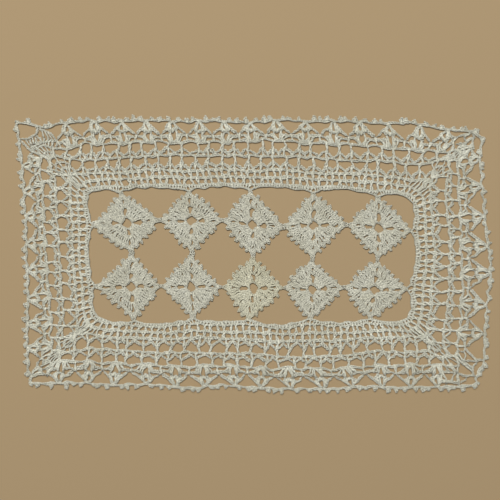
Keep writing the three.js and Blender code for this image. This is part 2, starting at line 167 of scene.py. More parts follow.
def borderTies():  # where the arms of the motifs meet the border
    for _, ties, _ in motifRows.values():
        for side, tie in zip(sideWays, ties):
            if not isinstance(tie, str):
                yield ringPoint("inner", side, float(tie))


def lengthsOf(line):
    return np.concatenate([[0], np.cumsum(np.linalg.norm(np.diff(line, axis=0), axis=1))])


def closeLine(line):
    return np.concatenate([line, line[:1]])


class Loop:  # a closed line that is read by length
    def __init__(self, line):
        self.line = closeLine(line)
        self.lengths = lengthsOf(self.line)
        self.total = self.lengths[-1]

    def at(self, s):
        s = np.mod(s, self.total)
        return np.stack([np.interp(s, self.lengths, self.line[:, k]) for k in (0, 1)], -1)

    def outward(self, s, reach=1.5):
        ahead = self.at(np.asarray(s) + reach) - self.at(np.asarray(s) - reach)
        out = np.stack([-ahead[..., 1], ahead[..., 0]], -1)
        return out / np.linalg.norm(out, axis=-1, keepdims=True)

    def stand(self, s, height):
        return self.at(s) + self.outward(s) * np.asarray(height, float)[..., None]

    def nearest(self, point, step=0.5):
        s = np.arange(0, self.total, step)
        return s[np.argmin(np.linalg.norm(self.at(s) - np.asarray(point), axis=1))]

    def between(self, start, end, u):  # shares of the way from one place to another
        first = self.nearest(start)
        return self.at(first + np.mod(self.nearest(end) - first, self.total) * u)

    def rounded(self, reach, step=0.75, count=9):  # the same line with soft corners
        s = np.arange(0, self.total, step)
        return np.mean([self.at(s + shift) for shift in np.linspace(-reach, reach, count)], 0)


# Thread and stitches

cotton = {
    "radius": 0.41,  # of the thread
    "level": 0.75,  # height of the work's middle above the table
    "depth": 0.29,  # of a stitch, from its middle
    "waver": 0.1,  # how far a stitch strays
    "over": 0.05,  # how much higher a chain lies than the stitches that it crosses
    "round": 0.08,  # the same for a chain right round the work
    "top": 0.1,  # and for a chain on top of others
}
chainStitch = {
    "length": 1.75,
    "legs": 0.72,  # from its middle out to its legs
    "near": 0.7,  # how far on and back its direction is read
    "uneven": 0.09,
}
chainShape = np.array([  # one chain stitch: along, across, up
    (0.15, 0, -1), (0.85, 0, -1), (1.3, -0.7, 0.2), (1.75, -1.0, 0.6),
    (2.15, 0, 0.25), (1.75, 1.0, 0.6), (1.3, 0.7, 0.2),
])
tallStitch = {
    "loop": 0.52,  # radius of its doubled strands
    "twist": 0.75,  # turns of its strands
    "post": 0.56,  # from its middle out to its strands
    "flare": 0.7,  # how much wider its foot and head are
    "waist": 0.3,  # how much of that its middle gives up
    "depth": 0.9,  # share of the stitch depth
    "overlap": 0.06,  # how far it reaches past its foot and head
    "points": 5,
    "bowUneven": 0.12,
    "slip": 0.05,  # how far the yarn over slides
    "sameWay": 0.9,  # share of them that lean the same way
}
wrapShape = np.array([  # the yarn over round a tall stitch: along, across, up
    (0.36, -0.45, -0.8), (0.44, -1.0, 0.1), (0.56, 0, 1.35), (0.68, 1.0, 0.1), (0.76, 0.45, -0.8),
])
shortStitch = {
    "overlap": 0.15,  # how far it reaches past its foot and head
    "narrow": 0.5,  # how much less wide it is than a chain stitch is long
    "heights": (-0.7, 0.5, 0.9, -0.2),  # of a leg's points
    "cross": 0.08,  # how much higher the upper leg lies than the middle
}
handWaver = [(17, 0.16), (11, 0.22), (7.5, 0.2)]  # how tension draws the work about: length, amount
handWaves = 3  # of each length
tubeSides = 4


def makeWaver():
    rows = []
    for length, amount in handWaver:
        for _ in range(handWaves):
            turn = rng.uniform(0, 2 * math.pi)
            wave = np.array([math.cos(turn), math.sin(turn)]) * 2 * math.pi / length
            rows.append((wave, rng.uniform(0, 2 * math.pi), rng.normal(0, amount, 2)))
    return rows


waverRows = makeWaver()


def drawAbout(points):
    return sum(np.sin(points[:, :2] @ wave + phase)[:, None] * amount for wave, phase, amount in waverRows)


def chain(work, line, closed=False, lift=0.0, full=1.0):
    line = closeLine(np.asarray(line, float)) if closed else np.asarray(line, float)
    lengths = lengthsOf(line)
    count = max(2, round(lengths[-1] / chainStitch["length"]))
    pitch = lengths[-1] / count
    loops = np.arange(count if closed else count - 1)
    at = ((loops[:, None] + chainShape[:, 0]) * pitch).ravel()
    if closed:
        at = np.mod(at, lengths[-1])

    def read(s):
        return np.stack([np.interp(s, lengths, line[:, k]) for k in (0, 1)], -1)

    near = chainStitch["near"]
    ahead = read(np.minimum(at + near, lengths[-1])) - read(np.maximum(at - near, 0))
    ahead /= np.linalg.norm(ahead, axis=1, keepdims=True)
    size = np.repeat(rng.normal(1, chainStitch["uneven"], len(loops)), len(chainShape))
    shift = np.repeat(rng.normal(0, cotton["waver"], len(loops)), len(chainShape))
    across = np.tile(chainShape[:, 1], len(loops)) * chainStitch["legs"] * full * size + shift
    up = np.tile(chainShape[:, 2], len(loops)) * cotton["depth"] + lift + cotton["level"]
    flat = read(at) + across[:, None] * np.stack([-ahead[:, 1], ahead[:, 0]], -1)
    work.append((np.concatenate([flat, up[:, None]], 1)[None], cotton["radius"] * full ** 0.5))


def stitchFrame(feet, heads):
    feet, heads = np.atleast_2d(feet), np.atleast_2d(heads)
    way = heads - feet
    side = np.stack([-way[:, 1], way[:, 0]], -1) / np.linalg.norm(way, axis=1, keepdims=True)
    return feet, way, side


def tallStitches(work, feet, heads, footWidth=1.0, bow=0.0, full=1.0, wrap=1.1, uneven=0.07):
    feet, way, side = stitchFrame(feet, heads)
    count = len(feet)
    bow = np.broadcast_to(np.asarray(bow, float), (count,)) + rng.normal(0, tallStitch["bowUneven"], count)
    start = rng.uniform(0, 2 * math.pi, count)
    size = rng.normal(1, uneven, count)
    flare = tallStitch["flare"]

    def lay(along, across, up, radius):  # along is a share of the stitch
        width = footWidth + (1 - footWidth) * np.clip(along, 0, 1)
        width = width * tallStitch["post"] * full * size[:, None]
        width = width * (1 - tallStitch["waist"] * flare + flare * (2 * along - 1) ** 2)
        offset = across * width + bow[:, None] * 4 * along * (1 - along)
        flat = feet[:, None] + along[..., None] * way[:, None] + offset[..., None] * side[:, None]
        height = up * cotton["depth"] * tallStitch["depth"] + cotton["level"]
        work.append((np.concatenate([flat, height[..., None]], -1), radius * full ** 0.5))

    points, past = tallStitch["points"], tallStitch["overlap"]
    along = np.broadcast_to(np.linspace(-past, 1 + past, points), (count, points))
    for strand in range(2):
        turn = strand * math.pi + start[:, None] + 2 * math.pi * tallStitch["twist"] * along
        lay(along, np.cos(turn), np.sin(turn), tallStitch["loop"])
    slip = rng.normal(0, tallStitch["slip"], (count, 1))
    flip = np.where(rng.random((count, 1)) < tallStitch["sameWay"], 1, -1)
    wrapUp = np.broadcast_to(wrapShape[:, 2], (count, len(wrapShape)))
    lay(wrapShape[:, 0] + slip, wrapShape[:, 1] * flip * wrap, wrapUp, cotton["radius"])


def shortStitches(work, feet, heads):
    feet, way, side = stitchFrame(feet, heads)
    heights = np.array(shortStitch["heights"]) * cotton["depth"]
    past = shortStitch["overlap"]
    along = np.linspace(-past, 1 + past, len(heights))
    slant = np.linspace(-0.5, 0.5, len(heights)) * (chainStitch["length"] - shortStitch["narrow"])
    for lean in (-1, 1):
        up = heights + lean * shortStitch["cross"] + cotton["level"]
        flat = feet[:, None] + along[:, None] * way[:, None] + (lean * slant)[:, None] * side[:, None]
        flat = flat + rng.normal(0, cotton["waver"], (len(feet), 1, 2))
        height = np.broadcast_to(up, flat.shape[:2])
        work.append((np.concatenate([flat, height[..., None]], -1), cotton["radius"]))


def sweepThread(paths, radius):  # tubes along equal paths, with closed ends
    step = np.gradient(paths, axis=1)
    ahead = step / np.linalg.norm(step, axis=2, keepdims=True)
    across = np.cross(ahead, (0.0, 0.0, 1.0))
    across /= np.linalg.norm(across, axis=2, keepdims=True)
    over = np.cross(across, ahead)
    turn = np.arange(tubeSides)[:, None] * 2 * math.pi / tubeSides
    ring = np.cos(turn) * across[:, :, None] + np.sin(turn) * over[:, :, None]
    points = paths[:, :, None] + radius * ring
    index = np.arange(points[..., 0].size).reshape(points.shape[:3])
    around = np.roll(index, -1, axis=2)
    walls = np.stack([index[:, :-1], index[:, 1:], around[:, 1:], around[:, :-1]], -1).reshape(-1, 4)
    caps = np.concatenate([index[:, 0], index[:, -1, ::-1]])
    there = np.cumsum(np.linalg.norm(np.diff(paths, axis=1), axis=2), 1)
    here = np.concatenate([np.zeros((len(paths), 1)), there[:, :-1]], 1)
    low = np.tile(np.arange(tubeSides), here.size) / tubeSides
    left, right = (np.repeat(v.ravel(), tubeSides) for v in (here, there))
    wallMap = quadMap(left, right, low, low + 1 / tubeSides)
    return points.reshape(-1, 3), walls, caps, wallMap


def quadMap(left, right, low, high):  # corners of flat cells in a face map
    return np.stack([np.stack([left, right, right, left], 1), np.stack([low, low, high, high], 1)], -1)


def sheetMap(wallCount, capCount):  # all faces side by side, along the thread
    wide = math.ceil(math.sqrt(wallCount + capCount))
    segment = np.arange(wallCount) // tubeSides
    bands = wallCount // tubeSides // wide + 1
    row = np.concatenate([segment // wide * tubeSides + np.arange(wallCount) % tubeSides,
                          bands * tubeSides + np.arange(capCount) // wide])
    column = np.concatenate([segment % wide, np.arange(capCount) % wide])
    cell = 1 / max(wide, row.max() + 1)
    return quadMap(column * cell, (column + 1) * cell, row * cell, (row + 1) * cell)


def buildThread(name, work):
    tubes = [sweepThread(*paths) for paths in work]
    offsets = np.cumsum([0] + [len(tube[0]) for tube in tubes])
    points = np.concatenate([tube[0] for tube in tubes])
    walls = np.concatenate([tube[1] + offset for tube, offset in zip(tubes, offsets)])
    caps = np.concatenate([tube[2] + offset for tube, offset in zip(tubes, offsets)])
    faces = np.concatenate([walls, caps])
    threadMap = np.concatenate([tube[3] for tube in tubes] + [np.zeros((len(caps), 4, 2))])
    points[:, :2] += drawAbout(points) - layoutMiddle
    points[:, 2] = np.maximum(points[:, 2], 0)  # the thread lies flat on the table
    mesh = bpy.data.meshes.new(name)
    mesh.vertices.add(len(points))
    mesh.vertices.foreach_set("co", (points * mm).astype(np.float32).ravel())
    mesh.loops.add(faces.size)
    mesh.loops.foreach_set("vertex_index", faces.astype(np.int32).ravel())
    mesh.polygons.add(len(faces))
    mesh.polygons.foreach_set("loop_start", np.arange(0, faces.size, 4, dtype=np.int32))
    mesh.polygons.foreach_set("use_smooth", np.ones(len(faces), bool))
    mesh.update(calc_edges=True)
    for label, cornersOnMap in (("thread", threadMap), ("OFBake", sheetMap(len(walls), len(caps)))):
        mesh.uv_layers.new(name=label).data.foreach_set("uv", cornersOnMap.astype(np.float32).ravel())
    piece = bpy.data.objects.new(name, mesh)
    bpy.context.scene.collection.objects.link(piece)
    print(name, len(faces) * 2, "triangles")
    return piece


# Cotton finish

def newGroup(name, inputs, outputs):
    group = bpy.data.node_groups.new(name, "ShaderNodeTree")
    for label, kind, value in inputs:
        group.interface.new_socket(name=label, in_out="INPUT", socket_type=kind).default_value = value
    for label, kind in outputs:
        group.interface.new_socket(name=label, in_out="OUTPUT", socket_type=kind)
    return group, group.nodes.new("NodeGroupInput"), group.nodes.new("NodeGroupOutput")


def feed(tree, socket, value):  # a plain number or the output of another node
    if isinstance(value, (int, float)):
        socket.default_value = value
    else:
        tree.links.new(value, socket)


def mathNode(tree, operation, *values):
    node = tree.nodes.new("ShaderNodeMath")
    node.operation = operation
    for socket, value in zip(node.inputs, values):
        feed(tree, socket, value)
    return node.outputs[0]


def rangeNode(tree, value, span=(0, 1), to=(0, 1)):
    node = tree.nodes.new("ShaderNodeMapRange")
    feed(tree, node.inputs["Value"], value)
    for label, end in zip(("From Min", "From Max", "To Min", "To Max"), (*span, *to)):
        feed(tree, node.inputs[label], end)
    return node.outputs[0]


def colorNode(tree, blend, factor, first, second):
    node = tree.nodes.new("ShaderNodeMix")
    node.data_type = "RGBA"
    node.blend_type = blend
    feed(tree, node.inputs["Factor"], factor)
    for socket, value in zip([s for s in node.inputs if s.type == "RGBA"], (first, second)):
        feed(tree, socket, value)
    return [s for s in node.outputs if s.type == "RGBA"][0]


def noiseNode(tree, scale, detail, roughness):
    place = tree.nodes.new("ShaderNodeTexCoord")
    noise = tree.nodes.new("ShaderNodeTexNoise")
    tree.links.new(place.outputs["Object"], noise.inputs["Vector"])
    for label, value in (("Scale", scale), ("Detail", detail), ("Roughness", roughness)):
        feed(tree, noise.inputs[label], value)
    return noise.outputs[0]


def makePlyTwist():  # grooves between the plies of the thread
    tree, given, result = newGroup(
        "plyTwist",
        [("Turns", "NodeSocketFloat", 0.6), ("Plies", "NodeSocketFloat", 3.0)],
        [("Groove", "NodeSocketFloat")],
    )
    uv = tree.nodes.new("ShaderNodeUVMap")
    uv.uv_map = "thread"
    split = tree.nodes.new("ShaderNodeSeparateXYZ")
    tree.links.new(uv.outputs[0], split.inputs[0])
    lengthwise = mathNode(tree, "MULTIPLY", split.outputs["X"], given.outputs["Turns"])
    turned = mathNode(tree, "ADD", lengthwise, split.outputs["Y"])
    phase = mathNode(tree, "MULTIPLY", turned, given.outputs["Plies"])
    wave = mathNode(tree, "SINE", mathNode(tree, "MULTIPLY", phase, 2 * math.pi))
    tree.links.new(mathNode(tree, "MULTIPLY_ADD", wave, 0.5, 0.5), result.inputs["Groove"])
    return tree


def makeFibre():  # short fuzz on the thread
    tree, given, result = newGroup(
        "cottonFibre", [("Scale", "NodeSocketFloat", 2500.0)], [("Fuzz", "NodeSocketFloat")]
    )
    fuzz = noiseNode(tree, given.outputs["Scale"], detail=3.0, roughness=0.65)
    tree.links.new(fuzz, result.inputs["Fuzz"])
    return tree


def makeAgeing():  # soft patches where the cotton has yellowed or greyed
    tree, given, result = newGroup(
        "cottonAgeing",
        [
            ("Clean", "NodeSocketColor", (0.7, 0.7, 0.62, 1)),
            ("Aged", "NodeSocketColor", (0.6, 0.58, 0.48, 1)),
            ("Patches", "NodeSocketFloat", 45.0),
        ],
        [("Color", "NodeSocketColor")],
    )
    patches = noiseNode(tree, given.outputs["Patches"], detail=5.0, roughness=0.7)
    aged = rangeNode(tree, patches, span=(0.35, 0.7))
    color = colorNode(tree, "MIX", aged, given.outputs["Clean"], given.outputs["Aged"])
    tree.links.new(color, result.inputs["Color"])
    return tree


def makeDepth():  # how deep in the work the thread lies, from 0 at the table side to 1 on top; this masks the painted depth shade
    tree, given, result = newGroup(
        "workDepth",
        [("Bottom", "NodeSocketFloat", 0.0002), ("Top", "NodeSocketFloat", 0.0013)],
        [("Height", "NodeSocketFloat")],
    )
    place = tree.nodes.new("ShaderNodeTexCoord")
    split = tree.nodes.new("ShaderNodeSeparateXYZ")
    tree.links.new(place.outputs["Object"], split.inputs[0])
    height = rangeNode(tree, split.outputs["Z"], span=(given.outputs["Bottom"], given.outputs["Top"]))
    tree.links.new(height, result.inputs["Height"])
    return tree


threadGroups = {"ply": makePlyTwist(), "fibre": makeFibre(), "age": makeAgeing(), "depth": makeDepth()}
threadLook = {
    "groove": (0.8, 1.06),  # painted shade: tone in a groove, and tone beside it
    "deep": (0.36, 1.14),  # painted shade: tone at the table side, and tone on top
    "tuftScale": 900.0,
    "tuftSpan": (0.3, 0.7),
    "tufts": (0.64, 1.34),  # tone of dark and light tufts
    "rough": (0.78, 0.98),
    "fuzzRelief": 0.6,  # against the grooves
    "relief": 0.7,
    "reliefDepth": 0.00012,
    "specular": 0.25,
}


def makeCotton(name, clean, aged):
    material = bpy.data.materials.new(name)
    material.use_nodes = True
    tree = material.node_tree
    shader = tree.nodes["Principled BSDF"]

    def placeGroup(key):
        node = tree.nodes.new("ShaderNodeGroup")
        node.node_tree = threadGroups[key]
        return node

    age, speckle = placeGroup("age"), placeGroup("fibre")
    age.inputs["Clean"].default_value = (*clean, 1)
    age.inputs["Aged"].default_value = (*aged, 1)
    speckle.inputs["Scale"].default_value = threadLook["tuftScale"]  # coarser tufts of the same fibre
    fuzz = placeGroup("fibre").outputs["Fuzz"]
    groove = placeGroup("ply").outputs["Groove"]
    height = placeGroup("depth").outputs["Height"]

    shade = rangeNode(tree, groove, to=threadLook["groove"])  # painted shade: grooves between the plies are drawn a little darker
    paintedDepthShade = rangeNode(tree, height, to=threadLook["deep"])  # painted shade: thread lower in the work, nearer the table, is drawn darker, as occlusion between the strands would shade it
    tufts = rangeNode(tree, speckle.outputs["Fuzz"], threadLook["tuftSpan"], threadLook["tufts"])
    tone = mathNode(tree, "MULTIPLY", mathNode(tree, "MULTIPLY", shade, paintedDepthShade), tufts)
    color = colorNode(tree, "MULTIPLY", 1.0, age.outputs["Color"], tone)
    tree.links.new(color, shader.inputs["Base Color"])
    tree.links.new(rangeNode(tree, fuzz, to=threadLook["rough"]), shader.inputs["Roughness"])

    bump = tree.nodes.new("ShaderNodeBump")
    bump.inputs["Strength"].default_value = threadLook["relief"]
    bump.inputs["Distance"].default_value = threadLook["reliefDepth"]
    raised = mathNode(tree, "MULTIPLY", fuzz, threadLook["fuzzRelief"])
    tree.links.new(mathNode(tree, "ADD", raised, groove), bump.inputs["Height"])
    tree.links.new(bump.outputs[0], shader.inputs["Normal"])
    shader.inputs["Specular IOR Level"].default_value = threadLook["specular"]
    return material


finishes = {
    "border": makeCotton("cottonBorder", (0.72, 0.72, 0.63), (0.6, 0.59, 0.49)),
    "motif": makeCotton("cottonMotif", (0.65, 0.645, 0.56), (0.56, 0.545, 0.445)),
    "yellowed": makeCotton("cottonYellowed", (0.67, 0.655, 0.53), (0.56, 0.535, 0.4)),
}
print("finishes made")


def finishPiece(name, work, finish, node):
    piece = buildThread(name, work)
    piece.data.materials.append(finishes[finish])
    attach(piece, "root")
    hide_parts(node)
    return piece


def finishBorder(name, work):
    return finishPiece(name, work, "border", "border")


# Border rounds. Shares run from a round's inner ring to its outer ring.

innerRound = {
    "rings": ("inner", "bar1"),
    "cornerInset": -14,  # how far inside the inner ring's corners the first posts would start
    "foot": 0.55, "dip": 0.615, "side": 0.795,  # where it starts, where a V dips and where it meets a post
    # cells of a side, first and last post on the outer ring, drift of the middle post
    "cells": {"top": (28, -138, 134.5, -3), "right": (13, 58.5, -67, 0),
              "bottom": (27, 132, -134.5, 3.8), "left": (12, -63, 59.5, 0)},
    "shell": (3, 4, 4), "openShells": {"bottomRight": (2, 3, 3)},  # corner stitches in each tier
    "uneven": 0.08, "posts": 1.3, "chains": 1.12,  # spacing of the posts, fullness of posts and chains
}
outerRound = {
    "rings": ("bar1", "bar2"),
    "cornerInset": 1,
    "foot": 0.0, "dip": 0.14, "side": 0.53,
    "cells": {"top": (30, -150, 146, -3), "right": (15, 70, -77, 0),
              "bottom": (28, 142.5, -146.5, 0), "left": (15, -72.5, 73.5, 0)},
    "shell": (4, 5), "openShells": {"bottomRight": (2,)},
    "uneven": 0.1, "posts": 1.2, "chains": 1.1,
}
lacets = {
    "sideUneven": 0.02, "dipUneven": (0.06, 0.012),  # where a V meets a post; its dip along and up
    "points": 13, "tierPoints": 9,  # of a V, and of a chain in a corner
    "cornerPosts": 0.5, "cornerFeet": 0.6, "cornerChains": 0.85,  # fullness and width of foot in a corner
}
meshRounds = {
    "bandChains": 0.8,  # fullness
    "bandEdge": 0.95,  # from the ties out to the band's first chain
    "bandStitch": 2.0,  # width of a short stitch
    "bandFoot": 0.15,  # where the short stitches start
    "bandSoft": 5,  # how far the corners are rounded
    "bandPull": (2.0, 9),  # how far a tie draws the band in, and how far along it
    # each line: share of the way out, and how far its corners are rounded
    "lines": {"band": (0.118, 5), "middle": (0.335, 13), "top": (0.55, 4)},
    "uneven": 0.07, "posts": 1.45, "chains": 1.2,
    "cornerInset": 0.8,  # how far the feet stay from the corners
    "cornerPosts": 4,  # posts left out of a side at each end
    "corners": [(4, 1.0, 1.25), (9, 1.5, 0.85)],  # posts round a corner, how they gather there, fullness
    "cornerFeet": 0.85,
    "lean": {  # how far a post's foot stands along the side from its head: place along the side, mm
        "top": [(0, 3.8), (0.45, 3.2), (0.55, 0.8), (0.75, 0), (1, -2.5)],
        "right": [(0, 4.2), (0.54, 0), (1, -4.2)],
        "bottom": [(0, 5), (0.15, 4.3), (0.25, 1), (0.7, 0.5), (0.8, -2), (1, -6)],
        "left": [(0, 4.5), (0.2, 4), (0.4, 1.6), (0.65, 0.8), (0.8, -1.2), (1, -5)],
    },
}


def roundPoint(cells, side, t, share, late=3):  # late is how near a corner the posts turn to it
    _, first, last, drift = cells["cells"][side]
    innerRing, outerRing = cells["rings"]
    axis, start, end = sideWays[side]
    t = np.asarray(t, float)
    s = 2 * t - 1
    outerAt = first + (last - first) * t + drift * (1 - s * s)
    inset = np.sign(last - first) * cells["cornerInset"]
    startAt = cornerPoints[start][innerRing][axis] + inset - first
    endAt = cornerPoints[end][innerRing][axis] - inset - last
    innerAt = outerAt + np.where(s < 0, startAt, endAt) * np.abs(s) ** late
    inner = ringPoint(innerRing, side, innerAt)
    outer = ringPoint(outerRing, side, outerAt)
    return inner + (outer - inner) * np.asarray(share, float)[..., None]


def innerPoint(side, t, share):  # the same, with the mesh rounds spread evenly into the corners
    t = np.asarray(t, float)
    axis, start, end = sideWays[side]
    top = roundPoint(innerRound, side, t, innerRound["foot"])
    ends = np.array([cornerPoints[c]["inner"][axis] for c in (start, end)], float)
    way = np.sign(ends[1] - ends[0])
    lean = way * np.interp(t, *np.array(meshRounds["lean"][side]).T)
    limit = np.sort(ends + way * meshRounds["cornerInset"] * np.array([1, -1]))
    bottom = ringPoint("inner", side, np.clip(top[..., axis] + lean, *limit))
    low = np.clip(np.asarray(share, float) / innerRound["foot"], 0, 1)[..., None]
    return np.where(low < 1, bottom + (top - bottom) * low, roundPoint(innerRound, side, t, share))


def outerPoint(side, t, share):
    return roundPoint(outerRound, side, t, share)


def cornerPoint(place, cells, corner, u, share):  # from the last post of a side round to the next one
    before = [side for side, way in sideWays.items() if way[2] == corner][0]
    ends = [place(before, 1, share), place(sideAfter[corner], 0, share)]
    tip = lerp(*[cornerPoints[corner][ring] for ring in cells["rings"]], share)
    control = 2 * tip - (ends[0] + ends[1]) / 2
    u = np.asarray(u, float)[:, None]
    return (1 - u) ** 2 * ends[0] + 2 * u * (1 - u) * control + u * u * ends[1]


def roundLine(place, cells, share, perCell=6, perCorner=12):
    points = []
    for side, (_, _, end) in sideWays.items():
        points.append(place(side, np.linspace(0, 1, cells["cells"][side][0] * perCell), share))
        points.append(cornerPoint(place, cells, end, np.linspace(0, 1, perCorner)[1:-1], share))
    return np.concatenate(points)


def stripSize(lines, hem=0.0, step=5):  # a round opened out flat: how deep it is with its hem, and how long
    lengths = [lengthsOf(closeLine(line))[-1] for line in lines]
    inner, outer = Loop(lines[0]), Loop(lines[1])
    s = np.arange(0, inner.total, step)
    depth = np.mean([np.min(np.linalg.norm(outer.line - p, axis=1)) for p in inner.at(s)])
    depth = depth + hem + 2 * (chainStitch["legs"] + cotton["radius"])
    return depth * mm, sum(lengths) / 2 * mm


def meshLine(share, soft):
    return Loop(Loop(roundLine(innerPoint, innerRound, share)).rounded(soft))


def buildFrameBand():
    work = []
    ring = Loop(Loop(ringLoop("inner")).rounded(meshRounds["bandSoft"]))
    s = np.arange(0, ring.total)
    pull, reach = meshRounds["bandPull"]
    away = [np.linalg.norm(ring.at(s) - tie, axis=1) for tie in borderTies()]
    loop = Loop(ring.stand(s, -pull * sum(np.clip(1 - gap / reach, 0, 1) ** 2 for gap in away)))
    s = np.arange(0, loop.total)
    chain(work, loop.stand(s, np.full(len(s), meshRounds["bandEdge"])), True, full=meshRounds["bandChains"])
    outer = meshLine(*meshRounds["lines"]["band"])
    chain(work, outer.line[:-1], True, cotton["top"], meshRounds["bandChains"])
    count = round(outer.total / meshRounds["bandStitch"])
    heads = outer.at(np.arange(count) * outer.total / count)
    nearest = loop.line[np.argmin(np.linalg.norm(heads[:, None] - loop.line[None], axis=2), 1)]
    shortStitches(work, lerp(nearest, heads, meshRounds["bandFoot"]), heads)
    for key in ("middle", "top"):
        line = meshLine(*meshRounds["lines"][key]).line[:-1]
        chain(work, line, True, cotton["round"], meshRounds["chains"])
    return finishBorder("frame_band", work)


def buildMeshRounds(hem):
    work = []
    shares = [share for share, _ in meshRounds["lines"].values()]
    lines = [meshLine(*row) for row in meshRounds["lines"].values()]
    near = meshRounds["cornerPosts"]
    for row, (count, gather, full) in enumerate(meshRounds["corners"]):
        pair = range(row, row + 2)
        v = 2 * np.arange(1, count + 1) / (count + 1) - 1
        u = 0.5 + 0.5 * np.sign(v) * np.abs(v) ** gather
        for side, (_, _, end) in sideWays.items():
            halves, halvesAfter = (2 * innerRound["cells"][s][0] for s in (side, sideAfter[end]))
            t = np.arange(near, halves + 1 - near) / halves
            shifts = rng.normal(0, meshRounds["uneven"], (2, len(t))) / halves
            feet, heads = (innerPoint(side, t + shift, shares[k]) for k, shift in zip(pair, shifts))
            tallStitches(work, feet, heads, full=meshRounds["posts"])
            feet, heads = (lines[k].between(innerPoint(side, 1 - near / halves, shares[k]),
                                            innerPoint(sideAfter[end], near / halvesAfter, shares[k]), u)
                           for k in pair)
            tallStitches(work, feet, heads, footWidth=meshRounds["cornerFeet"], full=full)
    piece = finishBorder("mesh_rounds", work)
    flat = stripSize([ringLoop("inner"), roundLine(innerPoint, innerRound, shares[-1])])


def buildLacetRound(name, cells, place):
    work = []
    foot = cells["foot"]
    dipAlong, dipUp = lacets["dipUneven"]
    chain(work, roundLine(place, cells, 1.0), True, cotton["round"])
    for side, (count, *_) in cells["cells"].items():
        steps = np.arange(count + 1)
        t = (steps + rng.normal(0, cells["uneven"], count + 1) * (steps % count > 0)) / count
        knot = cells["side"] + rng.normal(0, lacets["sideUneven"], count + 1)
        ends = [place(side, t, share) for share in (np.full(count + 1, foot), knot, np.ones(count + 1))]
        tallStitches(work, ends[0], ends[1], full=cells["posts"])
        tallStitches(work, ends[1], ends[2], full=cells["posts"])
        dips = (t[:-1] + t[1:]) / 2 + rng.normal(0, dipAlong, count) / count
        low = cells["dip"] + rng.normal(0, dipUp, count)
        shortStitches(work, place(side, dips, np.full(count, foot)), place(side, dips, low))
        u = np.linspace(-1, 1, lacets["points"])
        for i in range(count):
            bend = np.where(u < 0, knot[i], knot[i + 1])
            share = low[i] + (bend - low[i]) * np.abs(u)
            run = dips[i] + np.abs(u) * np.where(u < 0, t[i] - dips[i], t[i + 1] - dips[i])
            chain(work, place(side, run, share), lift=cotton["over"], full=cells["chains"])
    for corner in cornerPoints:
        shell = cells["openShells"].get(corner, cells["shell"])
        tiers = np.linspace(foot, 1, len(shell) + 1)
        for share in tiers[1:-1]:
            line = cornerPoint(place, cells, corner, np.linspace(0, 1, lacets["tierPoints"]), share)
            chain(work, line, lift=cotton["over"], full=lacets["cornerChains"])
        for low, high, count in zip(tiers[:-1], tiers[1:], shell):
            u = (np.arange(count) + 0.5) / count
            feet, heads = (cornerPoint(place, cells, corner, u, share) for share in (low, high))
            tallStitches(work, feet, heads, footWidth=lacets["cornerFeet"], full=lacets["cornerPosts"])
    piece = finishBorder(name, work)
    stripSize([roundLine(place, cells, share) for share in (foot, 1.0)])


buildMeshRounds(buildFrameBand())
buildLacetRound("inner_lacets", innerRound, innerPoint)
buildLacetRound("outer_lacets", outerRound, outerPoint)
print("border rounds worked")

# Fans and picot edge

fans = {
    "valley": 0.345,  # where two fans meet, as a share from the outer chain to the edge
    "valleys": {  # the same for each side, and for its last fan
        "top": (0.31, 0.64), "right": (0.27, 0.3), "bottom": (0.345, 0.68), "left": (0.28, 0.5),
    },
    "corners": {  # tip, base, valley after it
        "topLeft": [((-173, 86), (-160.8, 72), 0.33), ((-163, 95), (-153, 81), 0.33)],
        "topRight": [((163.5, 92), (154, 78), 0.58)],
        "bottomRight": [((172.2, -80.2), (155, -78), 0.8), ((166, -91), (152.6, -84), 0.65),
                        ((154, -98), (142.5, -84), 0.85)],
        "bottomLeft": [((-165.6, -92), (-153, -80), 0.52)],
    },
    "cornerFull": 0.7,  # fullness of their stitches
    # tall stitches of half a fan: foot and head, each across (1 is the valley) and up (1 is the tip), bow
    "stitches": [
        (0.04, 0.05, 0.235, 0.45, -0.4), (0.15, 0.03, 0.36, 0.35, -0.1), (0.27, 0.02, 0.56, 0.26, 0.2),
        (0.11, 0.52, 0.11, 0.86, -0.55), (0.31, 0.59, 0.22, 0.78, 0.0),
    ],
    "stitchFeet": 0.85,
    # chains of half a fan, across and up as above: to the next fan, over the middle opening, down the side
    "arch": {"across": (0.25, 0.65, 1), "up": (0.39, 0.27, 0.29), "full": 1.15},
    "bridge": {"half": 0.4, "up": 0.5, "rise": 0.8, "full": 1.4},
    "leg": {"bend": (0.41, 0.62), "end": 0.98, "full": 1.08},
    "middle": (0.47, 0.62),  # foot and head of the stitch above the bridge
    "full": 0.95,
    "points": (9, 5),  # of a leg, and of the other chains
}
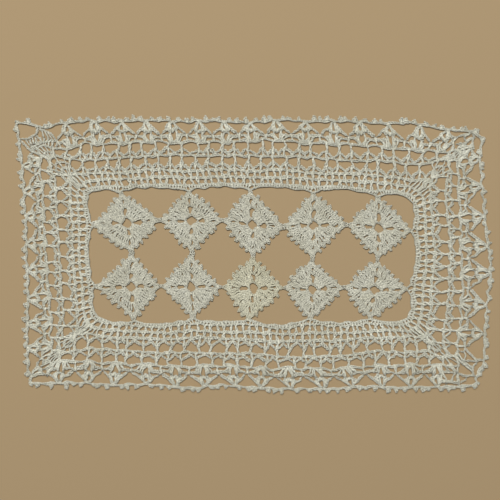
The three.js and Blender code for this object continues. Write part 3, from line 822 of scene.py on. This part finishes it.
cornerNets = {  # gathered corners without plain fans, in millimetres to the right and down from the start
    "bottomRight": {
        "start": (136.5, -61.5),
        "chains": [
            [(21.5, 8.3), (26.3, 14), (30.5, 18.3), (35, 18.4)], [(16, 11.5), (21.5, 11.8)],
            [(21.3, 19.2), (26, 19), (30, 18.5)], [(30.5, 18.5), (28, 24), (27.3, 29.3)],
            [(15, 27.3), (19, 28.5), (22.8, 30.3), (27, 29.5), (29.5, 29)],
            [(1, 22), (4, 27), (9, 27.8), (14, 27.5)], [(3.5, 34), (12, 33.3)],
            [(22.8, 30.5), (20.5, 34.5), (18.5, 35.5)], [(3.5, 35), (12, 34), (17.5, 35.8)],
        ],
        "posts": [  # first and last foot, first and last head, how many
            ((21.8, 9), (21.8, 9), (21.3, 19.8), (21.3, 19.8), 1),
            ((16.5, 13), (15, 16), (21.5, 19.3), (19.8, 20.8), 2),
            ((22, 20.3), (20, 20.8), (28, 23.5), (27, 26.5), 2),
            ((15.5, 16.5), (15.5, 16.5), (17.2, 22), (17.2, 22), 1),
            ((17.2, 22), (17.2, 22), (16.2, 27.5), (16.2, 27.5), 1),
            ((11.8, 20), (8.5, 21.2), (16.2, 26.5), (13.5, 27.2), 3),
            ((5, 21), (5, 21), (9.5, 27), (9.5, 27), 1),
            ((4, 27.5), (4, 27.5), (3.5, 34.5), (3.5, 34.5), 1),
            ((13.5, 28), (13.5, 28), (12, 33.5), (12, 33.5), 1),
            ((15.3, 28), (17, 28.5), (15.8, 35), (17.5, 35.3), 2),
        ],
    },
    "topLeft": {
        "start": (-180, 102),
        "chains": [
            [(4.3, 16.3), (11.5, 14), (15.5, 13.2), (17, 9.5), (17, 7)],
            [(17, 8.2), (23.5, 10), (28, 11.5), (32, 16.5), (31.5, 21)],
            [(4.5, 16.5), (11, 23.5), (14, 25), (19, 28)],
            [(15.8, 13.5), (16.5, 19.3), (20.8, 17), (17.3, 13.2)],
            [(11, 23), (16, 20.5), (21.5, 17.5), (31, 17)], [(9, 32), (14, 25.5)],
        ],
        "posts": [
            ((8.5, 17), (14.5, 14.5), (11.5, 21.5), (15.5, 18.5), 3),
            ((11.5, 22.5), (16.5, 20), (14.5, 25), (19.3, 23.5), 3),
            ((19.5, 9.5), (27.5, 12), (20.5, 13.5), (29.5, 16), 3),
            ((18.5, 14), (29.5, 16), (20, 17), (27, 18), 4),
            ((21, 18), (30, 17), (21.5, 20.5), (30, 21.3), 4),
        ],
    },
    "topRight": {
        "start": (140, 95),
        "chains": [
            [(23.5, 2.9), (24.8, 6), (24.6, 11), (24, 16.2)],
            [(11.5, 7.4), (15, 6.6), (19.5, 5.2), (22.5, 3.6)],
            [(11.7, 12.4), (17.8, 12.4)], [(17.8, 6.5), (18.3, 11), (18.6, 15), (18, 19), (16.5, 23)],
        ],
        "posts": [
            ((10.5, 16.5), (13.5, 20.3), (13.8, 13.5), (15, 19), 4),
            ((14.3, 13.5), (15.5, 18.5), (18.4, 13), (18.2, 18), 4),
            ((18.2, 7.5), (18, 6), (21.3, 5.7), (21.8, 4), 2),
            ((18.6, 11.7), (18.6, 9.7), (24.2, 9.4), (23.6, 7.4), 2),
            ((18.7, 16.5), (18.8, 14.8), (24, 14.2), (24.2, 12), 2),
        ],
    },
}
netFull = {"chains": 0.85, "posts": 0.72}
picots = {
    "along": (0.25, 0.52, 0.79),  # places between two fans
    "height": 2.75, "half": 1.0, "full": 1.0,
    "uneven": 0.055, "sizeUneven": 0.16, "least": 0.8, "lean": 0.08,
    "turnedIn": 0.05,  # share of them that lie inward
    "sizes": {"top": 0.98, "right": 0.84, "bottom": 0.92, "left": 0.98},
    "overlap": 0.1, "points": 9,  # of the loop
    "edgeHalf": 1,  # half the width of the chain that they stand on
}


def fanRows():
    rows = []
    for side, (_, _, end) in sideWays.items():
        tips, bases = np.array(fanSides[side]).T
        each, last = fans["valleys"][side]
        valleys = [each] * (len(tips) - 1) + [last]
        fulls = np.full(len(tips), fans["full"])
        rows.extend(zip(ringPoint("edge", side, tips), ringPoint("bar2", side, bases), valleys, fulls))
        cornerFull = 0 if end in cornerNets else fans["cornerFull"]
        rows.extend((*row, cornerFull) for row in fans["corners"][end])
    return rows


edgeLoop = Loop(ringLoop("edge"))
barLoop = Loop(ringLoop("bar2"))


def fanPlaces():
    rows = fanRows()
    onEdge = np.array([edgeLoop.nearest(row[0]) for row in rows])
    onBar = np.array([barLoop.nearest(row[1]) for row in rows])
    edgeRun = np.mod(np.roll(onEdge, -1) - onEdge, edgeLoop.total)
    barRun = np.mod(np.roll(onBar, -1) - onBar, barLoop.total)
    valley = np.array([row[2] for row in rows])
    feet = barLoop.at(onBar + barRun / 2)
    meetings = lerp(feet, edgeLoop.at(onEdge + edgeRun / 2), valley[:, None])
    fulls = [row[3] for row in rows]
    return onEdge, onBar, edgeRun, valley, feet, meetings, fulls


def buildNet(work, net):
    start, down = np.array(net["start"]), np.array([1, -1])
    for line in net["chains"]:
        chain(work, start + np.array(line) * down, lift=cotton["over"], full=netFull["chains"])
    for *ends, count in net["posts"]:
        t = (np.arange(count)[:, None] + 0.5) / count
        feet, heads = lerp(ends[0], ends[1], t), lerp(ends[2], ends[3], t)
        tallStitches(work, start + feet * down, start + heads * down, full=netFull["posts"])


def buildFans():
    work = []
    onEdge, onBar, _, valley, feet, meetings, fulls = fanPlaces()
    plain = np.array(fulls) > 0
    between = plain | np.roll(plain, -1)
    tallStitches(work, feet[between], meetings[between])
    for net in cornerNets.values():
        buildNet(work, net)
    for i in np.flatnonzero(plain):
        tip, base = edgeLoop.at(onEdge[i]), barLoop.at(onBar[i])
        tallStitches(work, *[lerp(base, tip, share) for share in fans["middle"]], full=fulls[i])
        for hand, k in ((-1, i - 1), (1, i)):
            reach = meetings[k] - lerp(base, tip, valley[k])
            lift = valley[k] - fans["valley"]

            def place(a, b):
                a, b = np.asarray(a, float)[..., None], np.asarray(b, float)[..., None]
                return base + (b + a * a * lift) * (tip - base) + a * reach

            legPoints, points = fans["points"]
            leg, bridge, arch = fans["leg"], fans["bridge"], fans["arch"]
            u = np.linspace(0, 1, legPoints)
            legA = (1 - u) ** 2 + 2 * u * (1 - u) * leg["bend"][0]
            legB = (1 - u) ** 2 * fans["valley"] + 2 * u * (1 - u) * leg["bend"][1] + u * u * leg["end"]
            a = np.linspace(0, bridge["half"], points)
            b = np.linspace(arch["across"][0], 1, points)
            for line, full in (
                (place(legA, legB), leg["full"]),
                (place(a, bridge["up"] + bridge["rise"] * a * a), fulls[i] * bridge["full"]),
                (place(b, np.interp(b, arch["across"], arch["up"])), fulls[i] * arch["full"]),
            ):
                chain(work, line, lift=cotton["over"], full=full)
            a0, b0, a1, b1, bow = np.array(fans["stitches"]).T
            tallStitches(work, place(a0, b0), place(a1, b1), footWidth=fans["stitchFeet"], bow=hand * bow,
                         full=fulls[i])
    return finishBorder("fans", work)


def picot(work, foot, along, out, height, half, full):  # a little closed loop of chain
    past = picots["overlap"]
    turn = np.linspace(-past, 1 + past, picots["points"]) * 2 * math.pi
    up = (1 - np.cos(turn)) / 2 * height
    across = -np.sin(turn) * half + rng.normal(0, picots["lean"]) * up
    line = foot + across[:, None] * along + up[:, None] * out
    chain(work, line, False, cotton["over"], full)


def buildPicotEdge():
    work = []
    onEdge, _, edgeRun, *_ = fanPlaces()
    chain(work, edgeLoop.line[:-1], True, cotton["over"])
    for start, run in zip(onEdge, edgeRun):
        for share in picots["along"]:
            s = start + run * (share + rng.normal(0, picots["uneven"]))
            out = edgeLoop.outward(s)
            side = max(sideOut, key=lambda name: sideOut[name] * out[1 - sideWays[name][0]])
            size = max(picots["least"], rng.normal(1, picots["sizeUneven"])) * picots["sizes"][side]
            height = picots["height"] * size * (-1 if rng.random() < picots["turnedIn"] else 1)
            along = np.array([out[1], -out[0]])
            picot(work, edgeLoop.at(s), along, out, height, picots["half"], picots["full"])
    return finishBorder("picot_edge", work)


fanPiece = buildFans()
fanFlat = stripSize([ringLoop("bar2"), ringLoop("edge")], picots["height"] + picots["edgeHalf"])
buildPicotEdge()
print("fans and picots worked")

# Motifs

motifWork = {
    # each line as (share at the corner, share at the middle of a side) of the way to a tie
    "lines": {"eye": (0.195, 0.235), "first": (0.5, 0.53), "second": (0.785, 0.8), "rim": (0.89, 0.9)},
    "curve": 0.8, "sidePoints": 24, "ringFull": 0.95,  # how round a side is, its points, its fullness
    # tall stitches: from line to line, how many on a side, where the outer ones stand, width of the foot
    "rows": [("eye", "first", 8, (0.18, 0.2), 0.7), ("first", "second", 14, (0.035, 0.085), 0.85)],
    "full": 0.86, "wrap": 1.9, "uneven": 0.13,
    "shortFrom": 0.03, "shortSpread": 0.9,  # where the short stitches start, and how far apart they are
    "teeth": 5, "teethFrom": 0.11, "tooth": (2.6, 0.88, 0.93),  # height, half width, fullness
    "teethUneven": (0.012, 0.1),  # place and size
    "arm": (0.74, 0.085, 0.023), "armPoints": 6,  # where an arm starts, its half width there and at the tie
    "yellowed": ("motif_r2_c3",),
}


def buildMotif(name):
    middle, tieNames, fulls = motifRows[name]
    middle = np.array(middle, float)
    ways = []
    for side, tie in zip(sideWays, tieNames):
        end = motifTies[tie] if isinstance(tie, str) else ringPoint("inner", side, float(tie))
        ways.append(np.asarray(end, float) - middle)
    lines, stitches = [], []

    def place(side, f, line):
        f = np.asarray(f, float)
        bulge = np.sin(math.pi * f) ** motifWork["curve"]
        share = (line[0] + (line[1] * fulls[side] - line[0]) * bulge)[..., None]
        f = f[..., None]
        return middle + share * ((1 - f) * ways[side] + f * ways[(side + 1) % 4])

    shares = motifWork["lines"]
    for ring in shares.values():
        f = np.linspace(0, 1, motifWork["sidePoints"], endpoint=False)
        line = np.concatenate([place(side, f, ring) for side in range(4)])
        chain(lines, line, True, cotton["round"], motifWork["ringFull"])
    for side in range(4):
        for low, high, count, (footEnd, headEnd), foot in motifWork["rows"]:
            t = np.linspace(0, 1, count) + rng.normal(0, motifWork["uneven"], count) / count
            feet = place(side, lerp(footEnd, 1 - footEnd, t), shares[low])
            heads = place(side, lerp(headEnd, 1 - headEnd, t), shares[high])
            tallStitches(stitches, feet, heads, footWidth=foot, full=motifWork["full"],
                         wrap=motifWork["wrap"], uneven=motifWork["uneven"])
        along = ways[(side + 1) % 4] - ways[side]
        run = np.linalg.norm(along)
        out = np.array([-along[1], along[0]]) / run
        count = round(run * motifWork["shortSpread"] / chainStitch["length"])
        f = np.linspace(motifWork["shortFrom"], 1 - motifWork["shortFrom"], count)
        shortStitches(stitches, place(side, f, shares["second"]), place(side, f, shares["rim"]))
        placeUneven, sizeUneven = motifWork["teethUneven"]
        f = (np.arange(motifWork["teeth"]) + 0.5) / motifWork["teeth"]
        f = lerp(motifWork["teethFrom"], 1 - motifWork["teethFrom"], f) + rng.normal(0, placeUneven, len(f))
        for foot in place(side, f, shares["rim"]):
            size = rng.normal(1, sizeUneven)
            height, half, full = motifWork["tooth"]
            picot(stitches, foot, -along / run, out, height * size, half * size, full)
        for hand in (-1, 1):
            aside = hand * (ways[(side + 1) % 4] - ways[side - 1]) / 2
            start, startHalf, tieHalf = motifWork["arm"]
            ends = middle + start * ways[side] + aside * startHalf, middle + ways[side] + aside * tieHalf
            chain(lines, np.linspace(*ends, motifWork["armPoints"]), lift=cotton["top"])
    finish = "yellowed" if name in motifWork["yellowed"] else "motif"
    rings = finishPiece(name + "_rings", lines, finish, name)
    filling = finishPiece(name + "_filling", stitches, finish, name)


for motifName in motifRows:
    buildMotif(motifName)
print("motifs worked")

# Floor, light and camera

studio = {
    "floor": (0.38, 0.275, 0.155), "floorSize": 12.0, "floorRough": 0.9,
    "keyPlace": (-0.45, 1.75, 3.0), "keySize": 0.5, "keyPower": 125.0, "keyColor": (1.0, 0.99, 0.95),
    "sky": (1.0, 1.0, 1.0), "skyStrength": 0.15,
    "lens": 85.0, "frameWidth": 0.375, "aim": (-0.0029, 0.0035, 0.0007),
}


def buildStudio():
    half = studio["floorSize"] / 2
    mesh = bpy.data.meshes.new("floor")
    corners = [(-half, -half, 0), (half, -half, 0), (half, half, 0), (-half, half, 0)]
    mesh.from_pydata(corners, [], [(0, 1, 2, 3)])
    floor = bpy.data.objects.new("floor", mesh)
    bpy.context.scene.collection.objects.link(floor)
    pale = bpy.data.materials.new("paleFloor")
    pale.use_nodes = True
    shader = pale.node_tree.nodes["Principled BSDF"]
    shader.inputs["Base Color"].default_value = (*studio["floor"], 1)
    shader.inputs["Roughness"].default_value = studio["floorRough"]
    mesh.materials.append(pale)

    light = bpy.data.lights.new("key", "AREA")
    light.size = studio["keySize"]
    light.energy = studio["keyPower"]
    light.color = studio["keyColor"]
    key = bpy.data.objects.new("key", light)
    key.location = studio["keyPlace"]
    bpy.context.scene.collection.objects.link(key)
    key.rotation_mode = "QUATERNION"
    key.rotation_quaternion = (-key.location).to_track_quat("-Z", "Y")
    world = bpy.data.worlds.new("softSky")
    world.use_nodes = True
    world.node_tree.nodes["Background"].inputs["Color"].default_value = (*studio["sky"], 1)
    world.node_tree.nodes["Background"].inputs["Strength"].default_value = studio["skyStrength"]
    bpy.context.scene.world = world
    bpy.context.scene.view_settings.view_transform = "Standard"

    camera = bpy.data.objects.new("camera", bpy.data.cameras.new("camera"))
    camera.data.lens = studio["lens"]
    height = studio["frameWidth"] / 2 / (camera.data.sensor_width / 2 / studio["lens"])
    x, y, z = studio["aim"]
    camera.location = (x, y, z + height)
    bpy.context.scene.collection.objects.link(camera)
    bpy.context.scene.camera = camera


buildStudio()
print("studio ready")
